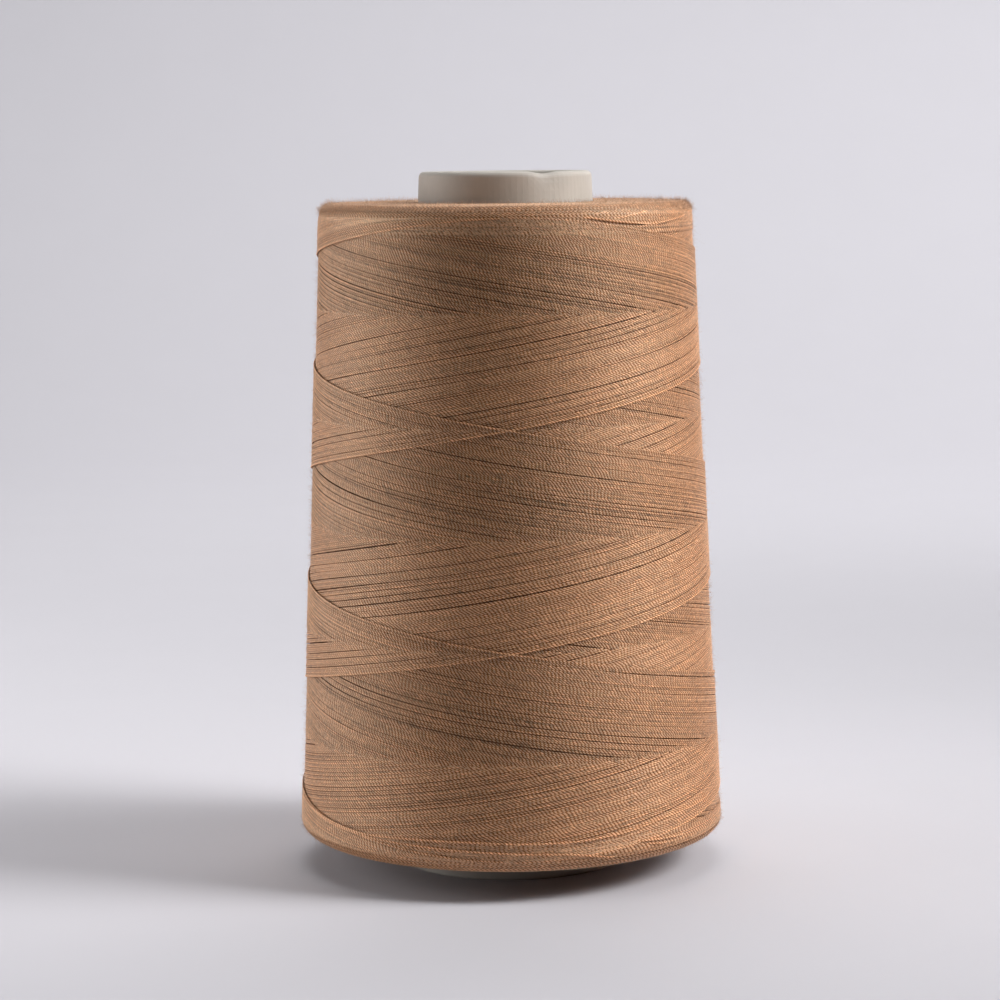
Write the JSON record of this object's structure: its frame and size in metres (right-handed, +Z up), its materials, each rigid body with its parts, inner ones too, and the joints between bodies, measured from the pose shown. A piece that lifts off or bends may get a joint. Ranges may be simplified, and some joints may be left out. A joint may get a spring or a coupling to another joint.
{
  "type": "cone of thread",
  "caption": "Cone of tan sewing thread: a cross-wound, slightly tapered package of fine twisted thread on a paper core that is open at both ends, standing on the core's foot.",
  "frame": {"origin": "centre of the ring at the foot of the core, on the surface that the cone stands on", "axes": "+Z up along the core's axis from the wide foot to the narrow rim, -Y towards the front as in the picture, +X to its right"},
  "size_m": [0.0644, 0.0644, 0.105],
  "materials": {
    "core_paper": "smooth grey-beige paper tube with a rounded rim",
    "thread": "camel brown plied thread with a soft sheen and fine stray fibres"
  },
  "bodies": {
    "root": {"core": "core_paper", "winding": "thread"}
  },
  "joints": []
}
